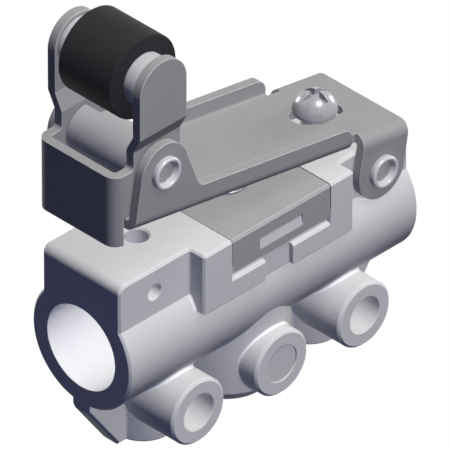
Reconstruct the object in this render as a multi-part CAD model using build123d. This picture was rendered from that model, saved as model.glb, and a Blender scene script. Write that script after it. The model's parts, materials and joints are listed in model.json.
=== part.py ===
from build123d import *
import math
import os

# A small three-port spool valve, worked by a one-way roller lever.
# X runs along the barrel, the side ports face -Y and +Z is up. The origin is the
# centre of the outlet port's mouth, on the plane that the valve stands on.
# All sizes are in millimetres and degrees.

# Valve body
BODY_LENGTH = 48.5
BARREL_D = 16.6
BORE_D = 11.4
BORE_HEIGHT = 16.0
BLOCK_TOP = 27.75
BLOCK_WIDTH = 13.0
BLOCK_END_ROUND = 1.2
SHOULDER_LENGTH = 25.2
SHOULDER_WIDTH = 18.0
SHOULDER_BOTTOM = 19.3
EDGE = 0.3
WEB_THICKNESS = 2.8
WEB_FOOT_LENGTH = 38.9
WEB_END_HEIGHT = 6.8

# Ports, bosses and holes of the body
PORT_PITCH = 14.0
PORT_D = 5.0
PORT_DEPTH = 5.5
PASSAGE_D = 3.0
DRILLING_D = 2.0
SIDE_PORT_HEIGHT = 6.15
SIDE_BOSS_D = 8.8
SIDE_BOSS_REACH = 9.45
OUTLET_BOSS_D = 15.6
OUTLET_BOSS_BEVEL = 2.4
TOP_HOLE_X = 15.0
TOP_HOLE_DEPTH = 4.6
CROSS_HOLE_D = 2.2
PLUG_LENGTH = 2.5
PLUG_INSET = 0.2

# Pilot block in its pocket across the shoulders
POCKET_LEFT = 7.9
POCKET_RIGHT = 8.6
POCKET_FLOOR = 23.1
LIP_TOP = 22.17
LIP_DEPTH = 0.65
LIP_GAP = 4.6
RECESS_LENGTH = 7.2
RECESS_BOTTOM = 24.2
RECESS_HEIGHT = 1.6
RECESS_DEPTH = 0.42
SEAM_EDGE = 0.1
PILOT_DRILL_D = 1.0
PILOT_DRILL_RISE = 0.4
PILOT_DRILL_END = 12.9
CHAMBER_FLOOR = 0.3
SEAT_SEAL_THICKNESS = 0.3
BUSH_D = 5.0
BUSH_STAND = 0.4

# Plunger and its spring
PLUNGER_D = 3.6
PLUNGER_FLANGE_D = 4.4
PLUNGER_FLANGE = 0.55
PLUNGER_DOME_R = 2.2
PLUNGER_CROWN = 1.2
PLUNGER_SPRING_D = 2.2
PLUNGER_SPRING_TURNS = 5
SPRING_WIRE = 0.35

# Spool, sleeve and end plugs
SLEEVE_BORE_D = 6.0
SLEEVE_LEFT = 13.3
SLEEVE_RIGHT = 12.9
PORT_ROW = 8.0
PORT_GROOVE = 2.4
GROOVE_DEPTH = 0.8
SLEEVE_HOLE_D = 1.0
SEAL_ROWS = (-11.2, -4.0, 4.0, 11.2)
SEAL_GROOVE = 1.3
NECK_D = 4.4
SPOOL_TRAVEL = 2.4
LAND_LAP = 0.1
LAND_WIDTH = 1.8
SPOOL_NUB_D = 3.0
SPOOL_BORE_D = 3.1
SPOOL_BORE_DEPTH = 5.4
SPOOL_SPRING_D = 2.5
SPOOL_SPRING_TURNS = 6
LEFT_PLUG = 1.95
RIGHT_PLUG = 3.95
CLIP_THICKNESS = 0.7
CLIP_BITE = 0.35
CLIP_WIDTH = 1.1
CLIP_GAP_ANGLE = 44.0
CLIP_LUG_D = 2.2
TOOL_HOLE_D = 0.9
VENT_D = 1.2

# Lever, in its own frame: pivot at the origin, plate along -X, tilted at rest
PIVOT_X = 18.4
PIVOT_DEPTH = 3.4
LEVER_TILT = 9.8
LEVER_TRAVEL = 8.0
SHEET = 1.2
LEVER_WIDTH = 15.8
PLATE_TOP = 5.43
FLANGE_TOP = 7.57
FLANGE_END = 6.1
BEND_R = 1.55
EAR_R = 3.8
EAR_SLOPE = 60.0
ARM_PIN_X = 39.0
ARM_PIN_Z = 11.45
FLANGE_CORNER_R = 1.8
NOTCH_DEPTH = 1.6
SCREW_SLOT_LENGTH = 7.8
EAR_RELIEF = 0.4

# Rivets
RIVET_D = 3.2
RIVET_HEAD_D = 4.25
RIVET_HEAD = 0.8
RIVET_BEAD = 0.56
RIVET_CUP_FLOOR_D = 2.8
RIVET_CUP_DEPTH = 0.85

# Roller arm, upright at rest and measured from its rivet
ARM_LOWER_WIDTH = 13.2
ARM_UPPER_WIDTH = 15.4
ARM_HALF = 3.85
JOGGLE_START = 3.95
JOGGLE_END = 6.1
ROLLER_RISE = 11.8
APRON_REACH = 7.0
APRON_TOP = 1.4
APRON_BOTTOM = 8.5
APRON_STEP = 4.9
APRON_TAIL = 1.5
ARM_TAIL_ANGLE = 20.0
APRON_BEND_R = 1.65
ARM_INNER_ROUND = 0.5
STOP_GAP = 0.1
TUBE_D = 6.4
TUBE_BORE_D = 5.0
ARM_SPRING_D = 4.1
ARM_SPRING_WIRE = 0.5
ARM_SPRING_TURNS = 5
ARM_SPRING_LENGTH = 7.6
ARM_SPRING_HOOK_HEIGHT = 5.4
ARM_SPRING_HOOK = 1.4

# Roller
ROLLER_D = 11.0
ROLLER_WIDTH = 8.6
ROLLER_ROUND = 0.15
AXLE_D = 3.0
HUB_D = 6.6

# Locking screw and its spacer
SCREW_D = 3.0
SCREW_LENGTH = 10.0
SCREW_HEAD_D = 5.5
SCREW_RIM = 0.35
SCREW_DOME = 2.4
SCREW_CROSS_WIDTH = 0.7
SCREW_CROSS_LENGTH = 3.9
SCREW_CROSS_DEPTH = 1.0
SPACER_D = 3.5

# Clearances
RUNNING = 0.05
LOOSE = 0.1
SEATED = 0.02
FACE = 0.05

# Places worked out from the sizes above
HALF_LENGTH = BODY_LENGTH / 2
BORE_R = BORE_D / 2
BORE_FLOOR = BORE_HEIGHT - BORE_R
BLOCK_HALF = BLOCK_WIDTH / 2
SHOULDER_HALF = SHOULDER_WIDTH / 2
PLATE_UNDER = PLATE_TOP - SHEET
LEVER_HALF = LEVER_WIDTH / 2
PORT_ROWS = (-PORT_ROW, 0.0, PORT_ROW)
PIVOT_HEIGHT = BLOCK_TOP - PIVOT_DEPTH
TILT = math.radians(LEVER_TILT)
DOME_REACH = PLATE_UNDER - PLUNGER_DOME_R - SEATED
DOME_RISE = DOME_REACH + PIVOT_X * math.sin(TILT)
PLUNGER_PER_RADIAN = PIVOT_X + DOME_RISE * math.sin(TILT) / math.cos(TILT) ** 2
PLUNGER_TRAVEL = PLUNGER_PER_RADIAN * math.radians(LEVER_TRAVEL)
CUT = 1.0


def cylinder_x(diameter, x0, x1, y=0.0, z=0.0):
    return Pos((x0 + x1) / 2, y, z) * Rot(0, 90, 0) * Cylinder(diameter / 2, x1 - x0)


def cylinder_y(diameter, y0, y1, x=0.0, z=0.0):
    return Pos(x, (y0 + y1) / 2, z) * Rot(90, 0, 0) * Cylinder(diameter / 2, y1 - y0)


def cylinder_z(diameter, z0, z1, x=0.0, y=0.0):
    return Pos(x, y, (z0 + z1) / 2) * Cylinder(diameter / 2, z1 - z0)


def block(x0, x1, y0, y1, z0, z1):
    return Pos((x0 + x1) / 2, (y0 + y1) / 2, (z0 + z1) / 2) * Box(x1 - x0, y1 - y0, z1 - z0)


def drilling(diameter, start, end):
    """A straight hole between two points."""
    run = Vector(*end) - Vector(*start)
    plane = Plane(origin=start, z_dir=run)
    return extrude(plane * Circle(diameter / 2), run.length)


def side_prism(face, width):
    """A face drawn in X and Z, made into a slab centred on the XZ plane."""
    return extrude(Plane.XZ * face, width / 2, both=True)


def lever_place(x, z):
    """The row-frame X and Z of a point given in the lever's own frame, at rest."""
    along = PIVOT_X + x * math.cos(TILT) + z * math.sin(TILT)
    up = PIVOT_HEIGHT - x * math.sin(TILT) + z * math.cos(TILT)
    return along, up


def plate_top_at(x):
    """The height of the lever plate's upper face at rest, at a row-frame X."""
    return PIVOT_HEIGHT + (PLATE_TOP + (PIVOT_X - x) * math.sin(TILT)) / math.cos(TILT)


ARM_X, ARM_Z = lever_place(-ARM_PIN_X, ARM_PIN_Z)
SCREW_SLOT_WIDTH = SPACER_D + 2 * LOOSE
HEAD_OVER_SLOT = math.sqrt(SCREW_HEAD_D ** 2 - SCREW_SLOT_WIDTH ** 2) / 2
SCREW_HEAD_BASE = plate_top_at(TOP_HOLE_X - HEAD_OVER_SLOT) + LOOSE
SEAT_TOP = POCKET_FLOOR + CHAMBER_FLOOR + SEAT_SEAL_THICKNESS
PILOT_DRILL_HEIGHT = SEAT_TOP + PILOT_DRILL_RISE + PILOT_DRILL_D / 2
PLUNGER_BOTTOM = SEAT_TOP + FACE + PLUNGER_TRAVEL
BUSH_BOTTOM = PLUNGER_BOTTOM + PLUNGER_FLANGE
DOME_CENTRE = PIVOT_HEIGHT + DOME_RISE / math.cos(TILT)
PLUNGER_TOP = DOME_CENTRE + PLUNGER_DOME_R


def body_blank():
    """Barrel, top block, bosses and web before any hole is cut."""
    barrel = cylinder_x(BARREL_D, -HALF_LENGTH, HALF_LENGTH, z=BORE_HEIGHT)
    blank = chamfer(barrel.edges().filter_by(GeomType.CIRCLE), EDGE)
    blank += upper_block() + web() + web_corners()
    blank += foot_boss(0.0, OUTLET_BOSS_D, OUTLET_BOSS_BEVEL)
    for x in (-PORT_PITCH, 0.0, PORT_PITCH):
        blank += side_boss(x)
    for x in (-PORT_PITCH, PORT_PITCH):
        blank += foot_boss(x, SIDE_BOSS_D, EDGE)
    return blank


def upper_block():
    """The flat-topped block with its wider middle, rolled over at the roller's end."""
    plan = Rectangle(BODY_LENGTH, BLOCK_WIDTH) + Rectangle(SHOULDER_LENGTH, SHOULDER_WIDTH)
    inward = [
        v for v in plan.vertices() if abs(v.X) < HALF_LENGTH - EDGE and abs(v.Y) < SHOULDER_HALF - EDGE
    ]
    upper = Pos(0, 0, SHOULDER_BOTTOM) * extrude(fillet(inward, EDGE), BLOCK_TOP - SHOULDER_BOTTOM)
    side = Pos(0, (SHOULDER_BOTTOM + BLOCK_TOP) / 2) * Rectangle(BODY_LENGTH, BLOCK_TOP - SHOULDER_BOTTOM)
    left_corner = side.vertices().group_by(Axis.Y)[-1].sort_by(Axis.X)[0]
    upper &= side_prism(fillet(left_corner, BLOCK_END_ROUND), SHOULDER_WIDTH)
    straight = HALF_LENGTH - BLOCK_END_ROUND
    rim = [e for e in upper.edges().group_by(Axis.Z)[-1] if abs(e.center().X) < straight - SEATED]
    ends = [
        e for e in upper.edges().filter_by(Axis.Y, reverse=True)
        if abs(e.center().X) > straight + SEATED and abs(e.center().Y) > BLOCK_HALF - SEATED
    ]
    corners = [e for e in upper.edges().filter_by(Axis.Z) if abs(e.center().Y) > SHOULDER_HALF - SEATED]
    return chamfer(rim + ends + corners, EDGE)


def web():
    """The rib under the barrel that ties the bosses together."""
    foot = WEB_FOOT_LENGTH / 2
    outline = Polyline(
        (-foot, 0), (foot, 0), (HALF_LENGTH, WEB_END_HEIGHT), (HALF_LENGTH, BORE_FLOOR - CUT),
        (-HALF_LENGTH, BORE_FLOOR - CUT), (-HALF_LENGTH, WEB_END_HEIGHT), close=True,
    )
    rib = side_prism(make_face(outline), WEB_THICKNESS)
    lower = [e for e in rib.edges().filter_by(Axis.Y, reverse=True) if e.center().Z < WEB_END_HEIGHT - EDGE]
    return chamfer(lower, EDGE)


def web_corners():
    """The rounded inner corners between the web and the outer feet."""
    plan = Rectangle(WEB_FOOT_LENGTH, WEB_THICKNESS)
    plan += [Pos(x, 0) * Circle(SIDE_BOSS_D / 2) for x in (-PORT_PITCH, PORT_PITCH)]
    inward = [v for v in plan.vertices() if abs(v.X) < WEB_FOOT_LENGTH / 2 - EDGE]
    return Pos(0, 0, EDGE) * extrude(fillet(inward, EDGE) - plan, BORE_FLOOR - EDGE)


def side_boss(x):
    """A port boss that faces -Y, with a bevelled rim."""
    boss = cylinder_y(SIDE_BOSS_D, -SIDE_BOSS_REACH, 0.0, x, SIDE_PORT_HEIGHT)
    return chamfer(boss.edges().filter_by(GeomType.CIRCLE).sort_by(Axis.Y)[0], EDGE)


def foot_boss(x, diameter, bevel):
    """An upright boss under the barrel that reaches up into it."""
    boss = cylinder_z(diameter, 0.0, BORE_HEIGHT, x)
    return chamfer(boss.edges().filter_by(GeomType.CIRCLE).sort_by(Axis.Z)[0], bevel)


def side_port(x):
    """The port hole and the narrower passage behind it."""
    mouth = cylinder_y(PORT_D, -SIDE_BOSS_REACH - CUT, -SIDE_BOSS_REACH + PORT_DEPTH, x, SIDE_PORT_HEIGHT)
    return mouth + cylinder_y(PASSAGE_D, -SIDE_BOSS_REACH, PASSAGE_D / 2, x, SIDE_PORT_HEIGHT)


def pocket():
    """The seat of the pilot block, with the two lips left standing at each side."""
    seat = block(
        -POCKET_LEFT, POCKET_RIGHT, -SHOULDER_HALF - CUT, SHOULDER_HALF + CUT, POCKET_FLOOR, BLOCK_TOP + CUT
    )
    inner = SHOULDER_HALF - LIP_DEPTH
    step = block(-POCKET_LEFT, POCKET_RIGHT, inner, SHOULDER_HALF + CUT, LIP_TOP, BLOCK_TOP)
    gap = block(-LIP_GAP / 2, LIP_GAP / 2, inner, SHOULDER_HALF + CUT, SHOULDER_BOTTOM - CUT, BLOCK_TOP)
    bevel_face = make_face(
        Polyline(
            (SHOULDER_HALF - EDGE, LIP_TOP), (SHOULDER_HALF + CUT, LIP_TOP),
            (SHOULDER_HALF + CUT, LIP_TOP - EDGE), (SHOULDER_HALF, LIP_TOP - EDGE), close=True,
        )
    )
    bevel = Pos(-POCKET_LEFT, 0, 0) * extrude(Plane.YZ * bevel_face, POCKET_LEFT + POCKET_RIGHT)
    sides = step + gap + bevel
    return seat + sides + mirror(sides, Plane.XZ)


def make_valve_body():
    body = body_blank()
    body -= cylinder_x(BORE_D, -HALF_LENGTH - CUT, HALF_LENGTH + CUT, z=BORE_HEIGHT)
    body -= pocket()
    for x in (-PORT_PITCH, PORT_PITCH):
        side = math.copysign(1.0, x)
        body -= side_port(x)
        body -= drilling(DRILLING_D, (x, 0, SIDE_PORT_HEIGHT), (side * PORT_ROW, 0, BORE_FLOOR + CUT))
        body -= cylinder_z(PORT_D, -CUT, PLUG_INSET + PLUG_LENGTH, x)
    plug_end = PLUG_INSET + PLUG_LENGTH - SIDE_BOSS_REACH
    body -= cylinder_y(PORT_D, -SIDE_BOSS_REACH - CUT, plug_end, 0, SIDE_PORT_HEIGHT)
    body -= cylinder_y(DRILLING_D, -SIDE_BOSS_REACH, 0, 0, SIDE_PORT_HEIGHT)
    body -= cylinder_z(PORT_D, -CUT, PORT_DEPTH)
    body -= cylinder_z(PASSAGE_D, 0, BORE_FLOOR + CUT)
    body -= cylinder_z(SCREW_D, BLOCK_TOP - TOP_HOLE_DEPTH, BLOCK_TOP + CUT, -TOP_HOLE_X)
    body -= Pos(-TOP_HOLE_X, 0, BLOCK_TOP - EDGE / 2) * Cone(SCREW_D / 2, SCREW_D / 2 + EDGE, EDGE)
    body -= cylinder_z(SCREW_D + SEATED, BORE_HEIGHT, BLOCK_TOP + CUT, TOP_HOLE_X)
    body -= cylinder_y(CROSS_HOLE_D, -BLOCK_HALF - CUT, BLOCK_HALF + CUT, -PIVOT_X, PIVOT_HEIGHT)
    body -= cylinder_y(RIVET_D + 2 * RUNNING, -BLOCK_HALF - CUT, BLOCK_HALF + CUT, PIVOT_X, PIVOT_HEIGHT)
    relief = cylinder_y(2 * (EAR_R + EAR_RELIEF), BLOCK_HALF, SHOULDER_HALF, PIVOT_X, PIVOT_HEIGHT)
    body -= relief + mirror(relief, Plane.XZ)
    body -= cylinder_x(PILOT_DRILL_D, -PILOT_DRILL_END, -POCKET_LEFT + CUT, z=PILOT_DRILL_HEIGHT)
    body -= cylinder_z(PILOT_DRILL_D, BORE_HEIGHT, PILOT_DRILL_HEIGHT, -PILOT_DRILL_END)
    clip_left, clip_right = clip_span()
    return body - cylinder_x(BORE_D + 2 * CLIP_BITE, clip_left, clip_right, z=BORE_HEIGHT)


def clip_span():
    """The X of the retaining clip's groove, just outside the left plug."""
    right = -SLEEVE_LEFT - FACE - LEFT_PLUG - SEATED
    return right - CLIP_THICKNESS - SEATED, right


def make_port_plugs():
    """Three pressed plugs: one in the middle side boss, two in the outer feet."""
    plug_d = PORT_D - 2 * SEATED
    mouth = PLUG_INSET - SIDE_BOSS_REACH
    side = cylinder_y(plug_d, mouth, mouth + PLUG_LENGTH, 0, SIDE_PORT_HEIGHT)
    feet = [cylinder_z(plug_d, PLUG_INSET, PLUG_INSET + PLUG_LENGTH, x) for x in (-PORT_PITCH, PORT_PITCH)]
    return [side] + feet


def make_pilot_block():
    left = SEATED - POCKET_LEFT
    right = POCKET_RIGHT - SEATED
    shell = block(left, right, -SHOULDER_HALF, SHOULDER_HALF, POCKET_FLOOR, BLOCK_TOP)
    shell = chamfer(shell.edges().filter_by(Axis.X).group_by(Axis.Z)[-1], EDGE)
    rims = shell.faces().filter_by(Axis.X).edges()
    shell = chamfer([e for e in rims if e.center().Z > POCKET_FLOOR + SEATED], SEAM_EDGE)
    shell -= side_recess()
    shell -= mirror(side_recess(), Plane.XZ)
    shell -= cylinder_z(PLUNGER_FLANGE_D + 2 * LOOSE, POCKET_FLOOR + CHAMBER_FLOOR, BLOCK_TOP)
    shell -= cylinder_z(BUSH_D, BUSH_BOTTOM, BLOCK_TOP + CUT)
    shell -= cylinder_x(PILOT_DRILL_D, left - CUT, 0, z=PILOT_DRILL_HEIGHT)
    seal_seat = left + face_seal_section()
    return shell - cylinder_x(face_seal_outer(), left - CUT, seal_seat, z=PILOT_DRILL_HEIGHT)


def face_seal_section():
    return SEAL_GROOVE / 2


def face_seal_outer():
    """Outside diameter of the small ring that seals the pilot drilling."""
    return PILOT_DRILL_D + 2 * (face_seal_section() + RUNNING)


def side_recess():
    """The sloped window in the block's side, deepest at its top."""
    middle = (POCKET_RIGHT - POCKET_LEFT) / 2
    top = RECESS_BOTTOM + RECESS_HEIGHT
    wedge = Polyline(
        (-SHOULDER_HALF, RECESS_BOTTOM), (-SHOULDER_HALF + RECESS_DEPTH, top), (-SHOULDER_HALF - CUT, top),
        (-SHOULDER_HALF - CUT, RECESS_BOTTOM), close=True,
    )
    return Pos(middle, 0, 0) * extrude(Plane.YZ * make_face(wedge), RECESS_LENGTH / 2, both=True)


def ring_x(outer, inner, x, section_clearance=SEATED):
    """A round-section seal that lies between two diameters, about the barrel's axis."""
    section = (outer - inner) / 4 - section_clearance
    return Pos(x, 0, BORE_HEIGHT) * Rot(0, 90, 0) * Torus((outer + inner) / 4, section)


def make_pilot_ring():
    section = face_seal_section() / 2 - SEATED
    x = SEATED - POCKET_LEFT + face_seal_section() / 2
    return Pos(x, 0, PILOT_DRILL_HEIGHT) * Rot(0, 90, 0) * Torus(PILOT_DRILL_D / 2 + section, section)


def make_pilot_seal():
    floor = POCKET_FLOOR + CHAMBER_FLOOR
    disc = cylinder_z(PLUNGER_FLANGE_D, floor, SEAT_TOP)
    return disc - cylinder_z(PILOT_DRILL_D, floor - CUT, SEAT_TOP + CUT)


def make_plunger_bush():
    top = BLOCK_TOP + BUSH_STAND
    bush = cylinder_z(BUSH_D - 2 * SEATED, BUSH_BOTTOM, top)
    bush = chamfer(bush.edges().filter_by(GeomType.CIRCLE).sort_by(Axis.Z)[-1], EDGE / 2)
    return bush - cylinder_z(PLUNGER_D + 2 * RUNNING, BUSH_BOTTOM - CUT, top + CUT)


def make_plunger():
    """A domed cap that slides in the bush, hollow from below for its spring."""
    half = PLUNGER_D / 2
    dome_foot = DOME_CENTRE + math.sqrt(PLUNGER_DOME_R ** 2 - half ** 2)
    dome_slope = math.asin(half / PLUNGER_DOME_R) / 2
    dome_mid = (
        PLUNGER_DOME_R * math.sin(dome_slope),
        DOME_CENTRE + PLUNGER_DOME_R * math.cos(dome_slope),
    )
    collar = PLUNGER_FLANGE_D / 2
    collar_top = PLUNGER_BOTTOM + PLUNGER_FLANGE - SEATED
    hollow = PLUNGER_SPRING_D / 2 + SPRING_WIRE / 2 + RUNNING
    hollow_top = PLUNGER_TOP - PLUNGER_CROWN
    outline = Polyline(
        (0, PLUNGER_TOP), (0, hollow_top), (hollow, hollow_top), (hollow, PLUNGER_BOTTOM),
        (collar, PLUNGER_BOTTOM), (collar, collar_top), (half, collar_top), (half, dome_foot),
    )
    outline += ThreePointArc((half, dome_foot), dome_mid, (0, PLUNGER_TOP))
    return revolve(Plane.XZ * make_face(outline), Axis.Z)


def coil(mean_d, wire, turns, length):
    """A helical spring along +Z from the origin, with the wire inside its length."""
    height = length - wire
    path = Pos(0, 0, wire / 2) * Helix(height / turns, height, mean_d / 2)
    start = Plane(origin=path @ 0, z_dir=path % 0)
    return sweep(start * Circle(wire / 2), path, is_frenet=True)


def make_plunger_spring():
    length = PLUNGER_TOP - PLUNGER_CROWN - SEAT_TOP - 2 * SEATED
    return Pos(0, 0, SEAT_TOP + SEATED) * coil(PLUNGER_SPRING_D, SPRING_WIRE, PLUNGER_SPRING_TURNS, length)


def make_spool_sleeve():
    outer = BORE_D - 2 * RUNNING
    groove_d = outer - 2 * GROOVE_DEPTH
    sleeve = cylinder_x(outer, -SLEEVE_LEFT, SLEEVE_RIGHT, z=BORE_HEIGHT)
    for x in PORT_ROWS:
        sleeve -= groove_x(x, PORT_GROOVE, groove_d)
        for angle in (0, 90):
            hole = Rot(angle, 0, 0) * Cylinder(SLEEVE_HOLE_D / 2, BORE_D)
            sleeve -= Pos(x, 0, BORE_HEIGHT) * hole
    for x in SEAL_ROWS:
        sleeve -= groove_x(x, SEAL_GROOVE, groove_d)
    nose = SLEEVE_LEFT - PILOT_DRILL_END + PILOT_DRILL_D / 2 + SEATED
    sleeve -= groove_x(-SLEEVE_LEFT, 2 * nose, groove_d)
    return sleeve - cylinder_x(SLEEVE_BORE_D, -HALF_LENGTH, HALF_LENGTH, z=BORE_HEIGHT)


def groove_x(x, width, floor_d):
    """An outside groove about the barrel's axis, centred on x."""
    band = cylinder_x(BARREL_D, x - width / 2, x + width / 2, z=BORE_HEIGHT)
    return band - cylinder_x(floor_d, x - width, x + width, z=BORE_HEIGHT)


def make_sleeve_rings():
    floor_d = BORE_D - 2 * RUNNING - 2 * GROOVE_DEPTH
    return [ring_x(BORE_D, floor_d, x) for x in SEAL_ROWS]


def make_spool():
    """Three lands on a slim stem, with a stop nub at one end and a spring hole at the other."""
    land_d = SLEEVE_BORE_D - 2 * RUNNING
    cover = SLEEVE_HOLE_D / 2 + LAND_LAP
    middle_right = -cover
    middle_left = middle_right - 2 * cover
    right_land = PORT_ROW + cover
    left_end = SEATED - SLEEVE_LEFT + EDGE
    left_land = -PORT_ROW - cover - SPOOL_TRAVEL
    right_end = right_land + LAND_WIDTH
    spool = cylinder_x(NECK_D, left_end, right_end, z=BORE_HEIGHT)
    for x0, x1 in ((left_end, left_land), (middle_left, middle_right), (right_land, right_end)):
        spool += cylinder_x(land_d, x0, x1, z=BORE_HEIGHT)
    spool += cylinder_x(SPOOL_NUB_D, SEATED - SLEEVE_LEFT, left_end, z=BORE_HEIGHT)
    return spool - cylinder_x(SPOOL_BORE_D, right_end - SPOOL_BORE_DEPTH, right_end + CUT, z=BORE_HEIGHT)


def make_spool_spring():
    hole_end = PORT_ROW + SLEEVE_HOLE_D / 2 + LAND_LAP + LAND_WIDTH - SPOOL_BORE_DEPTH
    length = SLEEVE_RIGHT + FACE - hole_end - 2 * SEATED
    spring = Rot(0, 90, 0) * coil(SPOOL_SPRING_D, SPRING_WIRE, SPOOL_SPRING_TURNS, length)
    return Pos(hole_end + SEATED, 0, BORE_HEIGHT) * spring


def make_left_plug():
    """The sealed plug behind the retaining clip, with a blind hole to draw it out by."""
    outer = BORE_D - 2 * RUNNING
    inner_x = -SLEEVE_LEFT - FACE
    plug = cylinder_x(outer, inner_x - LEFT_PLUG, inner_x, z=BORE_HEIGHT)
    plug = chamfer(plug.edges().filter_by(GeomType.CIRCLE), EDGE / 2)
    plug -= groove_x(inner_x - LEFT_PLUG / 2, SEAL_GROOVE, outer - 2 * GROOVE_DEPTH)
    return plug - cylinder_x(DRILLING_D, -HALF_LENGTH, inner_x - EDGE, z=BORE_HEIGHT)


def make_left_plug_ring():
    floor_d = BORE_D - 2 * RUNNING - 2 * GROOVE_DEPTH
    return ring_x(BORE_D, floor_d, -SLEEVE_LEFT - FACE - LEFT_PLUG / 2)


def make_right_plug():
    """The vented plug that the screw's point holds in the bore."""
    x0 = SLEEVE_RIGHT + FACE
    plug = cylinder_x(BORE_D - 2 * RUNNING, x0, x0 + RIGHT_PLUG, z=BORE_HEIGHT)
    plug = chamfer(plug.edges().filter_by(GeomType.CIRCLE), EDGE / 2)
    point = SCREW_HEAD_BASE - SCREW_LENGTH - FACE
    plug -= cylinder_z(SCREW_D + 2 * LOOSE, point, BLOCK_TOP, TOP_HOLE_X)
    return plug - cylinder_x(VENT_D, 0, HALF_LENGTH, z=BORE_HEIGHT)


def make_retaining_clip():
    """An internal clip: an open ring with two lugs that take the pliers."""
    groove_left, groove_right = clip_span()
    outer = BORE_D + 2 * CLIP_BITE - 2 * SEATED
    lug_path = outer / 2 - CLIP_WIDTH - CLIP_LUG_D / 3
    ring = Circle(outer / 2) - Circle(outer / 2 - CLIP_WIDTH)
    half_gap = math.radians(CLIP_GAP_ANGLE / 2)
    far = outer
    opening = make_face(
        Polyline(
            (0, 0), (far * math.sin(half_gap), far * math.cos(half_gap)),
            (-far * math.sin(half_gap), far * math.cos(half_gap)), close=True,
        )
    )
    ring -= opening
    for side in (-1, 1):
        angle = half_gap + CLIP_LUG_D / 2 / lug_path
        centre = Pos(side * lug_path * math.sin(angle), lug_path * math.cos(angle))
        lug = centre * Circle(CLIP_LUG_D / 2)
        ring += lug - centre * Circle(TOOL_HOLE_D / 2)
    flat = extrude(Plane.YZ * ring, groove_right - groove_left - 2 * SEATED)
    return Pos(groove_left + SEATED, 0, BORE_HEIGHT) * flat


def lever_side_outline():
    """The side view of the front half: plate edge, upturned flange and front ear."""
    slope = math.radians(EAR_SLOPE)
    front = -ARM_PIN_X - EAR_R
    touch_x = -ARM_PIN_X + EAR_R * math.sin(slope)
    touch_z = ARM_PIN_Z + EAR_R * math.cos(slope)
    foot_x = touch_x + (touch_z - FLANGE_TOP) / math.tan(slope)
    outline = Polyline(
        (front, ARM_PIN_Z), (front, PLATE_UNDER), (-FLANGE_END, PLATE_UNDER), (-FLANGE_END, FLANGE_TOP),
        (foot_x, FLANGE_TOP), (touch_x, touch_z),
    )
    outline += CenterArc((-ARM_PIN_X, ARM_PIN_Z), EAR_R, 90 - EAR_SLOPE, 90 + EAR_SLOPE)
    face = make_face(outline)
    corners = face.vertices().filter_by(lambda v: abs(v.Y - FLANGE_TOP) < SEATED)
    return fillet(corners, FLANGE_CORNER_R)


def channel_section(top, bottom, upturned):
    """The folded sheet across its width: a plate with both sides turned up or down."""
    half = LEVER_HALF
    outer = RectangleRounded(2 * half, 2 * (top - bottom), BEND_R)
    inner = RectangleRounded(2 * (half - SHEET), 2 * (top - bottom) - 2 * SHEET, BEND_R - SHEET)
    ring = outer - inner
    keep = Rectangle(4 * half, top - bottom)
    if upturned:
        return Pos(0, top) * (ring & Pos(0, (bottom - top) / 2) * keep)
    return Pos(0, bottom) * (ring & Pos(0, (top - bottom) / 2) * keep)


def make_lever():
    """One folded sheet: flanges and ears turned up at the front, ears turned down at the pivot."""
    front_top = ARM_PIN_Z + EAR_R
    front = -ARM_PIN_X - EAR_R
    upturned = extrude(Plane.YZ * channel_section(front_top, PLATE_UNDER, True), -front)
    nose = upturned.moved(Location((front, 0, 0))) & side_prism(lever_side_outline(), 2 * LEVER_WIDTH)
    downturned = extrude(Plane.YZ * channel_section(PLATE_TOP, -EAR_R, False), EAR_R, both=True)
    ear_outline = side_prism(
        make_face(
            Polyline((-EAR_R, 0), (-EAR_R, PLATE_TOP), (EAR_R, PLATE_TOP), (EAR_R, 0))
            + CenterArc((0, 0), EAR_R, 180, 180)
        ),
        2 * LEVER_WIDTH,
    )
    tail = downturned & ear_outline
    notch_half = LEVER_HALF - NOTCH_DEPTH
    bridge = block(-FLANGE_END - CUT, -EAR_R + CUT, -notch_half, notch_half, PLATE_UNDER, PLATE_TOP)
    sheet = nose + tail + bridge + stop_tongue()
    slot = Pos(screw_slot_x(), 0) * SlotOverall(SCREW_SLOT_LENGTH, SCREW_SLOT_WIDTH)
    sheet -= extrude(slot, FLANGE_TOP)
    sheet -= cylinder_y(RIVET_D + 2 * SEATED, -LEVER_WIDTH, LEVER_WIDTH)
    sheet -= cylinder_y(RIVET_D + 2 * SEATED, -LEVER_WIDTH, LEVER_WIDTH, -ARM_PIN_X, ARM_PIN_Z)
    return lever_at_rest(sheet)


def stop_tongue():
    """The front edge of the plate, which the arm's apron rests against."""
    wall = ARM_X - APRON_REACH + SHEET + STOP_GAP
    reach = (wall - PIVOT_X - PLATE_UNDER * math.sin(TILT)) / math.cos(TILT)
    half = ARM_LOWER_WIDTH / 2 - APRON_BEND_R
    return block(reach, -ARM_PIN_X, -half, half, PLATE_UNDER, PLATE_TOP)


def screw_slot_x():
    """Centre of the slot in the lever's frame, about the screw at rest."""
    middle = (PLATE_TOP + PLATE_UNDER) / 2
    return (TOP_HOLE_X - PIVOT_X - middle * math.sin(TILT)) / math.cos(TILT)


def lever_at_rest(shape):
    return Pos(PIVOT_X, 0, PIVOT_HEIGHT) * Rot(0, LEVER_TILT, 0) * shape


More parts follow.
